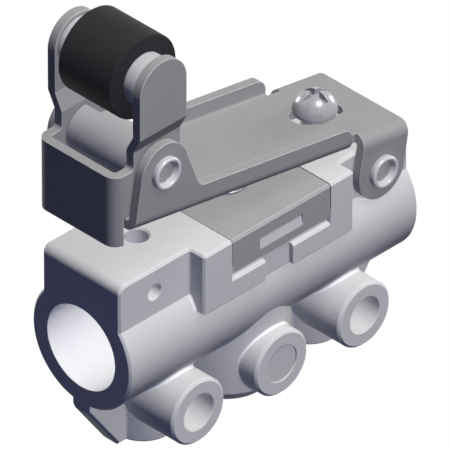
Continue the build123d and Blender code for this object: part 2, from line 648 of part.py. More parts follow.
def rivet(x, z):
    """A shank with a cup head outside each ear, rolled over into a round bead."""
    shank = RIVET_D / 2
    head = RIVET_HEAD_D / 2
    bead = RIVET_BEAD / 2
    crest = LEVER_HALF + RIVET_HEAD
    floor = (RIVET_CUP_FLOOR_D / 2, crest - RIVET_CUP_DEPTH)
    outline = Polyline(
        (head, crest - bead), (head, LEVER_HALF), (shank, LEVER_HALF), (shank, 0), (0, 0), (0, floor[1]),
        floor, (head - RIVET_BEAD, crest - bead),
    )
    outline += ThreePointArc((head, crest - bead), (head - bead, crest), (head - RIVET_BEAD, crest - bead))
    half = Pos(x, 0, z) * revolve(Plane.XY * make_face(outline), Axis.Y)
    return half + mirror(half, Plane.XZ)


def arm_side_outline():
    """The side view of the arm, about its rivet: apron, wall, post and rounded top."""
    front = -APRON_REACH
    tail = front + APRON_TAIL
    leaving = math.radians(180 + ARM_TAIL_ANGLE)
    touch = (ARM_HALF * math.sin(leaving), ARM_HALF * math.cos(leaving))
    outline = Polyline(
        touch, (tail, -APRON_STEP), (tail, -APRON_BOTTOM), (front, -APRON_BOTTOM), (front, APRON_TOP),
        (-ARM_HALF, APRON_TOP), (-ARM_HALF, ROLLER_RISE),
    )
    outline += CenterArc((0, ROLLER_RISE), ARM_HALF, 0, 180)
    outline += Line((ARM_HALF, ROLLER_RISE), (ARM_HALF, 0))
    outline += CenterArc((0, 0), ARM_HALF, 0, -90 - ARM_TAIL_ANGLE)
    face = make_face(outline)
    inner = face.vertices().filter_by(
        lambda v: abs(v.X + ARM_HALF) < SEATED and abs(v.Y - APRON_TOP) < SEATED
    )
    return fillet(inner, ARM_INNER_ROUND)


def arm_side_section():
    """The joggled side plate seen along X, from the apron to the top."""
    low = ARM_LOWER_WIDTH / 2
    high = ARM_UPPER_WIDTH / 2
    top = ROLLER_RISE + ARM_HALF
    outer = [(low, -APRON_BOTTOM), (low, JOGGLE_START), (high, JOGGLE_END), (high, top)]
    inner = [(y - SHEET, z) for y, z in reversed(outer)]
    return make_face(Polyline(*outer, *inner, close=True))


def make_roller_arm():
    """A folded fork: apron in front, two joggled plates that carry the roller."""
    post_start = -APRON_REACH + APRON_BEND_R
    plate = Pos(post_start, 0, 0) * extrude(Plane.YZ * arm_side_section(), ARM_HALF - post_start)
    depth = 2 * (APRON_REACH - ARM_HALF)
    wrap = RectangleRounded(depth, ARM_LOWER_WIDTH, APRON_BEND_R)
    wrap -= RectangleRounded(depth - 2 * SHEET, ARM_LOWER_WIDTH - 2 * SHEET, APRON_BEND_R - SHEET)
    wrap &= Pos(-depth / 4, 0) * Rectangle(depth / 2, ARM_LOWER_WIDTH)
    apron = Pos(-APRON_REACH + depth / 2, 0, -APRON_BOTTOM) * extrude(wrap, APRON_BOTTOM + APRON_TOP)
    fork = plate + mirror(plate, Plane.XZ) + apron
    fork &= side_prism(arm_side_outline(), 2 * ARM_UPPER_WIDTH)
    fork -= cylinder_y(RIVET_D + 2 * RUNNING, -ARM_UPPER_WIDTH, ARM_UPPER_WIDTH)
    return Pos(ARM_X, 0, ARM_Z) * fork


def tube_half():
    return ARM_LOWER_WIDTH / 2 - SHEET - FACE


def make_arm_tube():
    """The tube that keeps the arm's plates apart, open at the back for the spring's leg."""
    half = tube_half()
    tube = cylinder_y(TUBE_D, -half, half) - cylinder_y(TUBE_BORE_D, -half - CUT, half + CUT)
    leg_y = ARM_SPRING_LENGTH / 2
    tube -= block(0, TUBE_D, leg_y - 2 * ARM_SPRING_WIRE, half + CUT, -ARM_SPRING_WIRE, TUBE_D)
    return Pos(ARM_X, 0, ARM_Z) * tube


def make_arm_spring():
    """A torsion coil round the rivet, whose leg hooks behind the far plate."""
    height = ARM_SPRING_LENGTH
    helix = Helix(height / ARM_SPRING_TURNS, height, ARM_SPRING_D / 2)
    path = Rot(-90, 0, 0) * Pos(0, 0, -height / 2) * helix
    end = path @ 1
    turn = math.degrees(math.atan2(end.Z, end.X))
    path = Rot(0, turn, 0) * path
    end = path @ 1
    hook_x = ARM_HALF + ARM_SPRING_WIRE / 2 + FACE
    hook = Vector(hook_x, end.Y, ARM_SPRING_HOOK_HEIGHT)
    tip = Vector(hook_x, ARM_LOWER_WIDTH / 2 + ARM_SPRING_HOOK, ARM_SPRING_HOOK_HEIGHT)
    leg = FilletPolyline(end, hook, tip, radius=ARM_SPRING_WIRE)
    section = Plane(origin=path @ 0, z_dir=path % 0) * Circle(ARM_SPRING_WIRE / 2)
    wound = sweep(section, path, is_frenet=True)
    straight = sweep(Plane(origin=leg @ 0, z_dir=leg % 0) * Circle(ARM_SPRING_WIRE / 2), leg)
    joint = Pos(*end) * Sphere(ARM_SPRING_WIRE / 2)
    return Pos(ARM_X, 0, ARM_Z) * (wound + joint + straight)


def roller_axis(shape):
    return Pos(ARM_X, 0, ARM_Z + ROLLER_RISE) * shape


def make_roller():
    roller = cylinder_y(ROLLER_D, -ROLLER_WIDTH / 2, ROLLER_WIDTH / 2)
    roller = fillet(roller.edges().filter_by(GeomType.CIRCLE), ROLLER_ROUND)
    return roller_axis(roller - cylinder_y(AXLE_D + 2 * RUNNING, -ROLLER_WIDTH, ROLLER_WIDTH))


def make_roller_axle():
    half = ARM_UPPER_WIDTH / 2 - SHEET
    return roller_axis(cylinder_y(AXLE_D, -half, half))


def make_roller_hubs():
    plate = ARM_UPPER_WIDTH / 2 - SHEET
    hub = cylinder_y(HUB_D, ROLLER_WIDTH / 2 + FACE, plate)
    hub -= cylinder_y(AXLE_D + 2 * SEATED, 0, ARM_UPPER_WIDTH)
    return [roller_axis(hub), roller_axis(mirror(hub, Plane.XZ))]


def make_locking_screw():
    """A round cross-recessed head on a shank that reaches the right end plug."""
    half = SCREW_HEAD_D / 2
    shank = cylinder_z(SCREW_D, -SCREW_LENGTH, 0)
    shank = chamfer(shank.edges().filter_by(GeomType.CIRCLE).sort_by(Axis.Z)[0], EDGE)
    top = SCREW_RIM + SCREW_DOME
    crown = (half ** 2 + SCREW_DOME ** 2) / (2 * SCREW_DOME)
    dome = Pos(0, 0, top - crown) * Sphere(crown)
    dome &= block(-crown, crown, -crown, crown, SCREW_RIM, top + CUT)
    head = cylinder_z(SCREW_HEAD_D, 0, SCREW_RIM) + dome
    floor = top - SCREW_CROSS_DEPTH
    for width, length in ((SCREW_CROSS_WIDTH, SCREW_CROSS_LENGTH), (SCREW_CROSS_LENGTH, SCREW_CROSS_WIDTH)):
        head -= block(-width / 2, width / 2, -length / 2, length / 2, floor, top + CUT)
    return Pos(TOP_HOLE_X, 0, SCREW_HEAD_BASE) * (shank + head)


def make_screw_spacer():
    spacer = cylinder_z(SPACER_D, BLOCK_TOP, SCREW_HEAD_BASE)
    spacer -= cylinder_z(SCREW_D + 2 * RUNNING, BLOCK_TOP - CUT, SCREW_HEAD_BASE + CUT)
    return Pos(TOP_HOLE_X, 0, 0) * spacer


nodes = {
    "valve_body": make_valve_body(),
    "port_plugs": make_port_plugs(),
    "pilot_block": make_pilot_block(),
    "pilot_ring_seal": make_pilot_ring(),
    "pilot_seat_seal": make_pilot_seal(),
    "plunger_bush": make_plunger_bush(),
    "plunger": make_plunger(),
    "plunger_spring": make_plunger_spring(),
    "spool_sleeve": make_spool_sleeve(),
    "sleeve_seals": make_sleeve_rings(),
    "spool": make_spool(),
    "spool_spring": make_spool_spring(),
    "left_end_plug": make_left_plug(),
    "left_plug_seal": make_left_plug_ring(),
    "right_end_plug": make_right_plug(),
    "retaining_clip": make_retaining_clip(),
    "locking_screw": make_locking_screw(),
    "screw_spacer": make_screw_spacer(),
    "lever": make_lever(),
    "lever_rivet": rivet(PIVOT_X, PIVOT_HEIGHT),
    "arm_rivet": rivet(ARM_X, ARM_Z),
    "roller_arm": make_roller_arm(),
    "arm_spacer_tube": make_arm_tube(),
    "arm_spring": make_arm_spring(),
    "roller": make_roller(),
    "roller_axle": make_roller_axle(),
    "roller_hubs": make_roller_hubs(),
}

os.makedirs("parts", exist_ok=True)
for name, made in nodes.items():
    solids = made if isinstance(made, list) else [made]
    shape = Compound(children=solids) if len(solids) > 1 else solids[0]
    export_step(shape, f"parts/{name}.step")
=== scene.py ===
import json
import math

import bmesh
import bpy
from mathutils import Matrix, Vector

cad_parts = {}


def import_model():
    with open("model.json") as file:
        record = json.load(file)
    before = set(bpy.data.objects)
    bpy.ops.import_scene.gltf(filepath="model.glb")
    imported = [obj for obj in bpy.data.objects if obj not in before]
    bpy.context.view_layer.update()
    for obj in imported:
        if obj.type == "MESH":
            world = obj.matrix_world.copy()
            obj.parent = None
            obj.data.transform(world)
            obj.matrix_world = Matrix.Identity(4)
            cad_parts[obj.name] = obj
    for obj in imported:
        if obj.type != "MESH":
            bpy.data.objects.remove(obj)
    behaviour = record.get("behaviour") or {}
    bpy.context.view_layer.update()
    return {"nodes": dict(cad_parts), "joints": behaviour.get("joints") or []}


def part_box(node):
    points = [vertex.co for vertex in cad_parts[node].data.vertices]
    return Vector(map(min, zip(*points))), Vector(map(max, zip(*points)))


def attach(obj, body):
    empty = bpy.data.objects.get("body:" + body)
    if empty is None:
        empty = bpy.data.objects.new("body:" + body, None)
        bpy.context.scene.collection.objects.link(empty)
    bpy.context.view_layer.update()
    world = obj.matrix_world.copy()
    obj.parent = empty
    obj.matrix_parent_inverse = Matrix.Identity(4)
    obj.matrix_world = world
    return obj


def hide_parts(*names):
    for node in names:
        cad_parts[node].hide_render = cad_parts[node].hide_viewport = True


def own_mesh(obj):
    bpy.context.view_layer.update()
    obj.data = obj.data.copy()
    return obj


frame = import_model()
joints = {joint["name"]: joint for joint in frame["joints"]}

# Sizes are in millimetres, in the valve's own frame: X along the barrel, the side ports to -Y,
# Z up, and zero at the outlet port's mouth. Blender's own lengths are metres.
MM = 0.001


def pin_axis(name):
    """The X and Z of a joint's pin, which lies along Y."""
    x, _, z = joints[name]["pos_m"]
    return x / MM, z / MM


BARREL_HEIGHT = 16.0
BARREL_AXIS = (0.0, BARREL_HEIGHT)
BARREL_R = 8.3
BORE_R = 5.7
BARREL_END = 24.25
PORT_PITCH = 14.0
SIDE_PORT_HEIGHT = 6.15
SIDE_BOSS_R = 4.4
SIDE_BOSS_FACE = -9.45
SIDE_PLUG_BACK = -3.0
OUTLET_FOOT_R = 7.8
SHOULDER_END = 12.6
SHOULDER_BOTTOM = 19.3
BLOCK_SIDE = 6.5
WEB_SIDE = 1.4
LEVER_AXIS = pin_axis("lever_press")
LEVER_TILT = 9.8
ARM_AXIS = pin_axis("arm_fold")
ROLLER_AXIS = pin_axis("roller_spin")
TREAD_R = 5.4
SCREW_AXIS = (15.0, 0.0)
PLUNGER_AXIS = (0.0, 0.0)
RIVET_FLOOR_R = 1.42
PILOT_X = 0.35
PILOT_HALF = 8.23
PILOT_FOOT = 24.1

# The pilot block's two sloped windows: half their width, their heights and how far out they lie.
WINDOW_HALF = 3.61
WINDOW_HEIGHTS = (24.19, 25.78)
WINDOW_SIDES = (8.4, 8.988)

# Where the finishes begin and end: how near a machined face is still on it, the honed band about
# the bore's wall, the joints round the pilot block, the eased edges, and the corners' painted shade.
ON_FACE = 0.02
HONED_BAND = (-0.2, 0.06)
JOINT_HALF = 0.11
EDGE_R = 0.13
ROLLER_EDGE_R = 0.1
CORNER_REACH = 0.5

# How much a roughness changes with its grain, and how far the rolling of a sheet draws its marks out.
GRAIN_ROUGHNESS = 0.2
ROLLING = 9.0

# The photograph's view: an isometric direction, through a long lens that keeps lines almost parallel.
VIEW_AZIMUTH = 315.0
VIEW_ELEVATION = 35.264
VIEW_DISTANCE = 2230.1
VIEW_AIM = (-0.065, 0.095, 21.62)
VIEW_LIMITS = (10.0, 10000.0)
LENS = 1500.0
SENSOR = 36.0

# The floor's half width and level, and how strongly the floor and the sky shine, where 1 is white.
FLOOR_HALF = 1500.0
FLOOR_LEVEL = -0.05
FLOOR_GLOW = 0.97
SKY_LIGHT = 0.025

# Colours as they look in plain light, red, green and blue from 0 to 1.
CASTING = (0.604, 0.604, 0.597)
# The bore's honed wall, painted lighter as light that reaches inside it.
HONED_AND_LIT = (0.80, 0.80, 0.80)
# The casting's seams, painted light as a highlight.
FILLET_HIGHLIGHT_LOW = (0.80, 0.80, 0.80)
FILLET_HIGHLIGHT_HIGH = (0.90, 0.90, 0.90)
# Edge and corner tints: edges lighter as wear and painted highlight, corners darker as painted shade.
RUBBED_AND_HIGHLIT = (0.90, 0.90, 0.90)
PAINTED_CORNER_SHADE = (0.02, 0.02, 0.028)
COATED_GREY = (0.342, 0.342, 0.340)
WINDOW_GREY = (0.51, 0.51, 0.52)
SHEET_GREY = (0.306, 0.306, 0.304)
RIVET_BRIGHT = (0.54, 0.54, 0.55)
SCREW_BRIGHT = (0.34, 0.34, 0.36)
CLIP_DARK = (0.16, 0.16, 0.17)
TURNED_STEEL = (0.42, 0.42, 0.43)
TURNED_LIGHT = (0.55, 0.55, 0.56)
TUBE_LIGHT = (0.43, 0.43, 0.44)
WIRE = (0.34, 0.34, 0.36)
JOINT_DARK = (0.02, 0.02, 0.024)
RUBBER = (0.018, 0.018, 0.019)
BLACK_PLASTIC = (0.026, 0.026, 0.028)
SCUFF_GREY = (0.20, 0.20, 0.20)
PLASTIC_EDGE = (0.3, 0.3, 0.3)
FLOOR_GREY = (0.035, 0.035, 0.035)
WHITE = (1.0, 1.0, 1.0)
COOL = (0.16, 0.20, 1.0)

# The Mix node's colour sockets, which come after those for numbers and vectors.
MIX_COLOURS = (6, 7)
MIX_RESULT = 2


class Signal:
    """One output of a shader node. Arithmetic on it adds Math nodes."""

    def __init__(self, craft, socket):
        self.craft = craft
        self.socket = socket

    def maths(self, operation, *terms, clamp=False):
        settings = {"operation": operation, "use_clamp": clamp}
        return self.craft.node("Math", settings, dict(enumerate(terms)))

    def __add__(self, other):
        return self.maths("ADD", self, other)

    def __radd__(self, other):
        return self.maths("ADD", other, self)

    def __sub__(self, other):
        return self.maths("SUBTRACT", self, other)

    def __rsub__(self, other):
        return self.maths("SUBTRACT", other, self)

    def __mul__(self, other):
        return self.maths("MULTIPLY", self, other)

    def __rmul__(self, other):
        return self.maths("MULTIPLY", other, self)

    def __pow__(self, other):
        return self.maths("POWER", self, other)

    def __abs__(self):
        return self.maths("ABSOLUTE", self)

    def limited(self):
        """The same value, kept between 0 and 1."""
        return self.maths("MULTIPLY", self, 1.0, clamp=True)

    def repeated(self, pitch):
        """How far a place lies from the nearest of a row of places, a pitch apart."""
        return self.maths("WRAP", self, pitch / 2, -pitch / 2)

    def above(self, level, blur=0.01):
        """1 where the value is over a level, 0 below, with a soft step."""
        sockets = {"Value": self, "From Min": level - blur, "From Max": level + blur}
        return self.craft.node("MapRange", {"interpolation_type": "SMOOTHSTEP"}, sockets)

    def below(self, level, blur=0.01):
        return 1.0 - self.above(level, blur)

    def between(self, low, high):
        return self.above(low) * self.below(high)


class Craft:
    """Builds the shader nodes of one material or of the world."""

    def __init__(self, tree):
        self.tree = tree
        tree.nodes.clear()

    def node(self, kind, settings=None, sockets=None, output=0):
        """Adds a shader node: its settings first, then the values or links of its sockets."""
        made = self.tree.nodes.new("ShaderNode" + kind)
        for key, value in (settings or {}).items():
            setattr(made, key, value)
        for key, value in (sockets or {}).items():
            if isinstance(value, Signal):
                self.tree.links.new(value.socket, made.inputs[key])
            else:
                made.inputs[key].default_value = value
        return Signal(self, made.outputs[output]) if len(made.outputs) else None

    def seen_directly(self):
        """1 for what the camera sees, in a mirror or through glass too, else 0."""
        rays = self.node("LightPath").socket.node.outputs
        names = ("Is Camera Ray", "Is Glossy Ray", "Is Transmission Ray")
        straight, glossy, through = (Signal(self, rays[name]) for name in names)
        return (straight + glossy + through).limited()


class Finish(Craft):
    """A material of the valve, measured in millimetres."""

    def __init__(self, name):
        self.material = bpy.data.materials.new(name)
        self.material.use_nodes = True
        super().__init__(self.material.node_tree)
        metres = self.node("TexCoord", output="Object")
        self.place = self.node("VectorMath", {"operation": "SCALE"}, {0: metres, "Scale": 1.0 / MM})
        parted = self.node("SeparateXYZ", sockets={0: self.place}).socket.node
        self.x, self.y, self.z = (Signal(self, output) for output in parted.outputs)

    def noise(self, size, detail=3.0, stretch=(1.0, 1.0, 1.0), tilt=0.0):
        """Cloudy noise from 0 to 1. Its patches are about size across, and drawn out by the stretch."""
        turn = (0.0, math.radians(tilt), 0.0)
        sockets = {"Vector": self.place, "Rotation": turn, "Scale": stretch}
        where = self.node("Mapping", {"vector_type": "TEXTURE"}, sockets)
        sockets = {"Vector": where, "Scale": 1.0 / size, "Detail": detail}
        return self.node("TexNoise", {}, sockets, "Fac")

    def lines(self, measure, size):
        """Uneven fine lines from 0 to 1 across a measure, such as a distance from an axis."""
        sockets = {"W": measure * (1.0 / size), "Scale": 1.0, "Detail": 3.0}
        return self.node("TexNoise", {"noise_dimensions": "1D"}, sockets, "Fac")

    def from_axis(self, axis, first, second):
        """The distance from an axis along X, Y or Z through the two other coordinates."""
        one, two = {"X": (self.y, self.z), "Y": (self.x, self.z), "Z": (self.x, self.y)}[axis]
        return across(one - first, two - second)

    def tool_marks(self, axis, first, second, size=0.16, facing=0.83):
        """The rings that turning leaves, round an outside and, a little wider, across a flat end."""
        along = {"X": self.x, "Y": self.y, "Z": self.z}[axis]
        return self.lines(along + self.from_axis(axis, first, second) * facing, size)

    def rounded(self, radius):
        """The face's direction, with its hard edges eased by a radius."""
        return self.node("Bevel", {"samples": 6}, {"Radius": radius * MM})

    def edges(self, eased, strength):
        """Close to 1 on a hard edge or in a corner, 0 on open faces."""
        true = self.node("NewGeometry", output="Normal")
        same = self.node("VectorMath", {"operation": "DOT_PRODUCT"}, {0: eased, 1: true}, "Value")
        return ((1.0 - same) * strength).limited()

    def corner_shade_mask(self, reach, strength=1.25, start=0.12):
        """Close to 1 deep in a corner, groove or seam, 0 in the open: where shade is painted into the
        colour.
        """
        open_sky = self.node("AmbientOcclusion", {"samples": 8}, {"Distance": reach * MM}, "AO")
        return ((1.0 - open_sky) * strength - start).limited()

    def blend(self, share, first, second):
        """A colour between two, by a share from 0 to 1."""
        sockets = {0: share}
        for key, colour in zip(MIX_COLOURS, (first, second)):
            sockets[key] = colour if isinstance(colour, Signal) else (*colour, 1.0)
        return self.node("Mix", {"data_type": "RGBA"}, sockets, MIX_RESULT)

    def varied(self, share, colour, low, high):
        """A colour times low where the share is 0, and times high where it is 1."""
        return self.blend(share, scaled(colour, low), scaled(colour, high))

    def bump(self, height, depth, under=None):
        """A face's direction with a relief of that depth on it."""
        sockets = {"Height": height, "Distance": depth * MM}
        if under:
            sockets["Normal"] = under
        return self.node("Bump", {}, sockets)

    def surface(self, **sockets):
        """Ends the material in one Principled surface."""
        named = {key.replace("_", " "): value for key, value in sockets.items()}
        shader = self.node("BsdfPrincipled", {}, named)
        self.node("OutputMaterial", {}, {"Surface": shader})
        return self.material


def across(one, two):
    """The distance that two distances at a right angle make."""
    return (one * one + two * two) ** 0.5


def scaled(colour, share):
    return tuple(min(1.0, part * share) for part in colour)


def uneven(roughness, grain):
    """A roughness that changes a little with the grain."""
    return grain * GRAIN_ROUGHNESS + (roughness - GRAIN_ROUGHNESS / 2)


def with_pilot_joint(finish, colour):
    """A colour with the two fine dark joints between the pilot block and the casting."""
    joint = abs(abs(finish.x - PILOT_X) - PILOT_HALF).below(JOINT_HALF, blur=0.03)
    return finish.blend(joint * finish.z.above(PILOT_FOOT) * 0.95, colour, JOINT_DARK)


def worked(finish, colour, grain, *, roughness, gloss, depth, metallic=0.0, wear_and_highlight=0.35, painted_shade=0.3):
    """A metal face: clouding, its own grain, edges lightened as wear and painted highlight, corners
    darkened as painted shade, and eased hard edges.
    """
    if not isinstance(colour, Signal):
        clouds = finish.noise(size=4.0, detail=2.0)
        colour = finish.varied(clouds * 0.6 + grain * 0.4, colour, 0.93, 1.07)
    eased = finish.rounded(EDGE_R)
    # Hard edges are lightened in the colour: partly wear, partly a painted highlight.
    rubbed_and_highlit = finish.edges(eased, strength=14.0)
    # Painted shade: corners, grooves and seams that ambient occlusion finds are darkened in the colour.
    if painted_shade:
        corner = finish.corner_shade_mask(CORNER_REACH)
        rubbed_and_highlit = (rubbed_and_highlit * (1.0 - corner * 1.6)).limited()
    shade = finish.blend(rubbed_and_highlit * wear_and_highlight, colour, RUBBED_AND_HIGHLIT)
    if painted_shade:
        shade = finish.blend(corner * painted_shade, shade, PAINTED_CORNER_SHADE)
    return finish.surface(
        Base_Color=shade,
        Metallic=metallic,
        Specular_IOR_Level=gloss,
        Roughness=uneven(roughness, grain),
        Normal=finish.bump(grain, depth, eased),
    )


def die_casting():
    """A shot-blasted casting, with its bore honed and its flat mouths machined bright; the bore is also
    painted lighter, standing in for light inside it.
    """
    finish = Finish("fine_casting")
    fine = finish.noise(size=0.22, detail=5.0)
    clouds = finish.noise(size=5.0, detail=2.0)
    from_bore = finish.from_axis("X", *BARREL_AXIS)
    from_port = across(finish.x.repeated(PORT_PITCH), finish.z - SIDE_PORT_HEIGHT)
    in_bore = from_bore.between(*(BORE_R + limit for limit in HONED_BAND))
    mouths = finish.y.below(SIDE_BOSS_FACE + ON_FACE)
    barrel_ends = abs(finish.x).above(BARREL_END - ON_FACE) * from_bore.below(BARREL_R)
    feet = finish.z.below(ON_FACE)
    machined = (mouths + barrel_ends + feet + in_bore).limited()
    measure = from_port * mouths + from_bore * barrel_ends + finish.x * in_bore + finish.y * feet
    rings = finish.lines(measure, size=0.14)
    grain = fine + (rings - fine) * machined
    cast = finish.varied(clouds * 0.5 + fine * 0.5, CASTING, 0.92, 1.07)
    bright = finish.varied(rings, CASTING, 0.98, 1.12)
    # The bore's wall: honed metal, and painted lighter as light inside the bore.
    honed = finish.varied(rings, HONED_AND_LIT, 0.95, 1.05)
    colour = finish.blend(in_bore, finish.blend(machined, cast, bright), honed)
    colour = with_pilot_joint(finish, colour)
    return worked(finish, colour, grain, roughness=0.65, gloss=0.06, depth=0.004, wear_and_highlight=1.0, painted_shade=0.35)


def fillets_painted_bright():
    """The casting's seams, painted brighter than its faces as a highlight."""
    finish = Finish("fillets_painted_bright")
    fine = finish.noise(size=0.22, detail=5.0)
    return finish.surface(
        Base_Color=finish.blend(fine, FILLET_HIGHLIGHT_LOW, FILLET_HIGHLIGHT_HIGH),
        Specular_IOR_Level=0.08,
        Roughness=uneven(0.4, fine),
        Normal=finish.bump(fine, depth=0.004),
    )


def pressed_plugs():
    """Turned plugs: the side one has rings round its port, and the feet's ones round theirs."""
    finish = Finish("pressed_plugs")
    in_foot = finish.y.above(SIDE_PLUG_BACK)
    from_foot = across(abs(finish.x) - PORT_PITCH, finish.y)
    from_side = finish.from_axis("Y", 0.0, SIDE_PORT_HEIGHT)
    rings = finish.lines(from_side + (from_foot - from_side) * in_foot, size=0.16)
    return worked(finish, scaled(CASTING, 0.96), rings, roughness=0.65, gloss=0.06, depth=0.004)


def coated_block():
    """The pilot block's matt coat, lighter in its two sloped windows."""
    finish = Finish("coated_block")
    fine = finish.noise(size=0.16, detail=4.0)
    window = abs(finish.x - PILOT_X).below(WINDOW_HALF)
    window = window * finish.z.between(*WINDOW_HEIGHTS) * abs(finish.y).between(*WINDOW_SIDES)
    colour = finish.blend(window, finish.varied(fine, COATED_GREY, 0.92, 1.08), WINDOW_GREY)
    colour = with_pilot_joint(finish, colour)
    return worked(finish, colour, fine, roughness=0.65, gloss=0.06, depth=0.003, wear_and_highlight=0.8, painted_shade=0.35)


def sheet_steel(name, tilt, stretch):
    """Satin-plated sheet, with the faint drawn-out scratches of its rolling."""
    finish = Finish(name)
    rolled = finish.noise(size=0.12, stretch=stretch, tilt=tilt)
    grain = rolled * 0.65 + finish.noise(size=0.2) * 0.35
    return worked(
        finish, SHEET_GREY, grain, roughness=0.6, gloss=0.06, depth=0.003, wear_and_highlight=0.6, painted_shade=0.35
    )


def turned(name, colour, axis, first, second, *, roughness, metallic, gloss=0.4):
    """A lathe-turned metal, with rings about its own axis."""
    finish = Finish(name)
    rings = finish.tool_marks(axis, first, second)
    return worked(
        finish, colour, rings,
        roughness=roughness, metallic=metallic, gloss=gloss, depth=0.004,
    )


def rivet_steel(name, x, z):
    """A bright rolled rim round a duller floor."""
    finish = Finish(name)
    rings = finish.tool_marks("Y", x, z, size=0.2)
    inside = finish.from_axis("Y", x, z).below(RIVET_FLOOR_R, blur=0.03)
    colour = finish.blend(inside, finish.varied(rings, RIVET_BRIGHT, 0.92, 1.1), SHEET_GREY)
    return worked(
        finish, colour, rings,
        roughness=0.3, metallic=0.08, gloss=0.35, depth=0.003, wear_and_highlight=0.2, painted_shade=0.5,
    )


def screw_steel(name, colour, x, y, *, metallic):
    """Bright plating with a soft lustre."""
    finish = Finish(name)
    grain = finish.noise(size=0.3) * 0.4 + finish.tool_marks("Z", x, y, size=0.3) * 0.6
    return worked(
        finish, colour, grain,
        roughness=0.27, metallic=metallic, gloss=0.5, depth=0.001, wear_and_highlight=0.2, painted_shade=0.0,
    )


def drawn_wire():
    """Spring wire with a fine dull grain."""
    finish = Finish("drawn_wire")
    grain = finish.noise(size=0.08)
    return worked(finish, WIRE, grain, roughness=0.36, metallic=0.4, gloss=0.5, depth=0.002)


def moulded_rubber():
    """Black seal rubber with a faint bloom."""
    finish = Finish("moulded_rubber")
    fine = finish.noise(size=0.1)
    bloom = finish.noise(size=1.6, detail=2.0)
    return finish.surface(
        Base_Color=finish.varied(bloom, RUBBER, 0.8, 1.8),
        Specular_IOR_Level=0.4,
        Roughness=uneven(0.52, fine),
        Normal=finish.bump(fine, depth=0.002),
    )


def roller_plastic():
    """Turned black plastic, with rings on its ends, paler edges and very faint scuffs on its tread."""
    finish = Finish("roller_plastic")
    rings = finish.tool_marks("Y", *ROLLER_AXIS, size=0.22)
    grain = rings * 0.6 + finish.noise(size=0.15) * 0.4
    tread = finish.from_axis("Y", *ROLLER_AXIS).above(TREAD_R)
    scuffs = finish.noise(size=0.8, detail=4.0, stretch=(1.0, 0.12, 1.0)).above(0.6, blur=0.06)
    eased = finish.rounded(ROLLER_EDGE_R)
    shade = finish.varied(rings, BLACK_PLASTIC, 0.93, 1.08)
    shade = finish.blend(scuffs * tread * 0.03, shade, SCUFF_GREY)
    shade = finish.blend(finish.edges(eased, strength=7.0) * 0.1, shade, PLASTIC_EDGE)
    return finish.surface(
        Base_Color=shade,
        Specular_IOR_Level=0.05,
        Roughness=uneven(0.6, grain),
        Normal=finish.bump(grain, 0.0015, eased),
    )


def dress(material, *nodes):
    """Gives CAD nodes a material."""
    for name in nodes:
        slots = frame["nodes"][name].data.materials
        slots.clear()
        slots.append(material)


def finishes():
    dress(die_casting(), "valve_body")
    dress(pressed_plugs(), "port_plugs")
    dress(coated_block(), "pilot_block")
    dress(sheet_steel("lever_sheet", LEVER_TILT, (ROLLING, 1.0, 1.0)), "lever")
    dress(sheet_steel("arm_sheet", 0.0, (1.0, 1.0, ROLLING)), "roller_arm")
    dress(rivet_steel("lever_rivet_steel", *LEVER_AXIS), "lever_rivet")
    dress(rivet_steel("arm_rivet_steel", *ARM_AXIS), "arm_rivet")
    dress(
        screw_steel("screw_plating", SCREW_BRIGHT, *SCREW_AXIS, metallic=0.1),
        "locking_screw", "screw_spacer",
    )
    dress(screw_steel("clip_steel", CLIP_DARK, 0.0, 0.0, metallic=0.5), "retaining_clip")
    dress(
        turned("plunger_steel", TURNED_STEEL, "Z", *PLUNGER_AXIS, roughness=0.32, metallic=0.4),
        "plunger", "plunger_bush",
    )
    dress(turned("spool_steel", TURNED_STEEL, "X", *BARREL_AXIS, roughness=0.28, metallic=0.6), "spool")
    dress(
        turned("roller_pin_steel", TURNED_LIGHT, "Y", *ROLLER_AXIS, roughness=0.35, metallic=0.1),
        "roller_axle", "roller_hubs",
    )
    dress(
        turned("tube_steel", TUBE_LIGHT, "Y", *ARM_AXIS, roughness=0.6, metallic=0.0, gloss=0.08),
        "arm_spacer_tube",
    )
    dress(
        turned("turned_aluminium", TURNED_LIGHT, "X", *BARREL_AXIS, roughness=0.38, metallic=0.25),
        "spool_sleeve", "left_end_plug", "right_end_plug",
    )
    dress(drawn_wire(), "plunger_spring", "spool_spring", "arm_spring")
    dress(moulded_rubber(), "pilot_ring_seal", "pilot_seat_seal", "sleeve_seals", "left_plug_seal")
    dress(roller_plastic(), "roller")


def working_spring(slide):
    """A copy of the CAD shape of the spring behind a sliding piece, fixed to the valve body in place of
    the CAD part.
    """
    spring = joints[slide]["deforming_nodes"][0]
    node = spring["node"]
    along = spring["mode"][-1]
    axis = tuple(float(letter == along) for letter in "xyz")
    low, high = (Vector(corner).dot(Vector(axis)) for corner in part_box(node))
    coils = bpy.data.objects.new(node + "_coils", frame["nodes"][node].data.copy())
    bpy.context.scene.collection.objects.link(coils)
    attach(coils, "valve_body")
    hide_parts(node)
    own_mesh(coils)


# The casting's small fillets, where two of its outside faces meet in a corner. Each is the mark of
# a ball that rolls along the corner and touches both faces. Arcs are in degrees, spans along X.
SEAM_R = 0.3
SEAM_STEPS = 6
SUNK = 0.012
PAST_CORNER = 1.06
SHARP_ANGLE = 35.0
SIDE_BOSS_ARC = (17, 163)
PLUG_BOSS_ARC = (-52, 232)
OUTLET_FOOT_ARCS = ((10, 170), (190, 350))
OUTER_FOOT_ARC = (22, 158)
SHOULDER_SEAM_TOP = BLOCK_SIDE + 0.25
WEB_SPANS = ((-23.9, -18.3), (-9.8, -7.6), (7.6, 9.8), (18.3, 23.9))


def to_axis_x(y, z):
    """The way from a ball's centre to a round face's axis along X. The next two serve Y and Z."""
    return lambda ball: Vector((0.0, y - ball.y, z - ball.z))


def to_axis_y(x, z):
    return lambda ball: Vector((x - ball.x, 0.0, z - ball.z))


